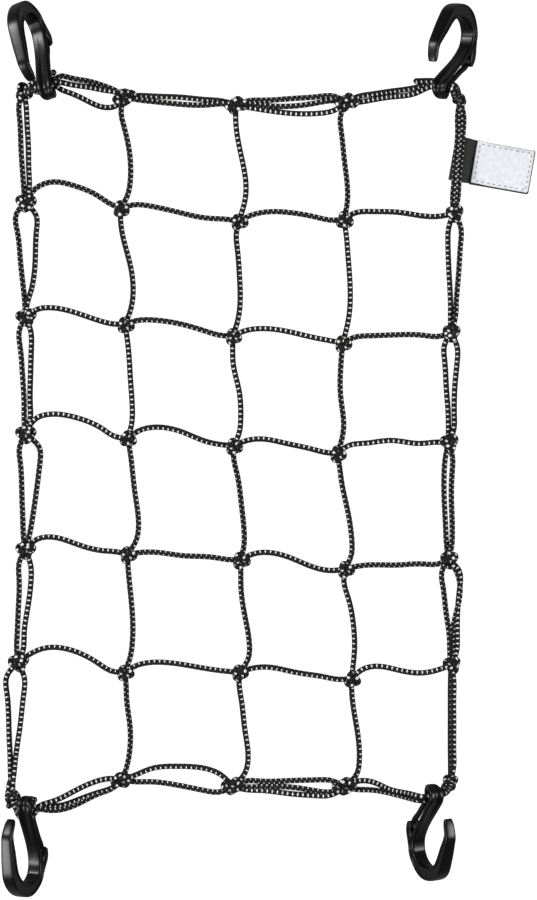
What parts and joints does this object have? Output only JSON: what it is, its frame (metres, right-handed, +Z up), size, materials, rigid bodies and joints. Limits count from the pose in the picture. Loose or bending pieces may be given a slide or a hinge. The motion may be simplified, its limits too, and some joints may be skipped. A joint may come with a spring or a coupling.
{
  "type": "cargo net",
  "caption": "Small knotted cargo net of thin black braided cord, with a plastic hook on the border at each corner and a cloth label, laid flat to hold loads down.",
  "frame": {"origin": "On the surface that the net lies on, under the middle of the part's box.", "axes": "X to the right across the net, Y up its length towards the top pair of hooks, Z up off the surface."},
  "size_m": [0.3638, 0.5996, 0.0561],
  "materials": {
    "cord": "tightly braided polyester cover, satin black with one fine white tracer yarn",
    "hook_plastic": "moulded black nylon, satin",
    "webbing": "finely ribbed black woven tape",
    "label_backing": "thin dark backing cloth",
    "label_cloth": "silvery white reflective cloth, faintly mottled"
  },
  "bodies": {
    "root": {"net": "cord", "hook_top_left": "hook_plastic", "hook_top_right": "hook_plastic", "hook_bottom_left": "hook_plastic", "hook_bottom_right": "hook_plastic", "label_loop": "webbing", "label_back": "label_backing", "label_face": "label_cloth"}
  },
  "joints": []
}
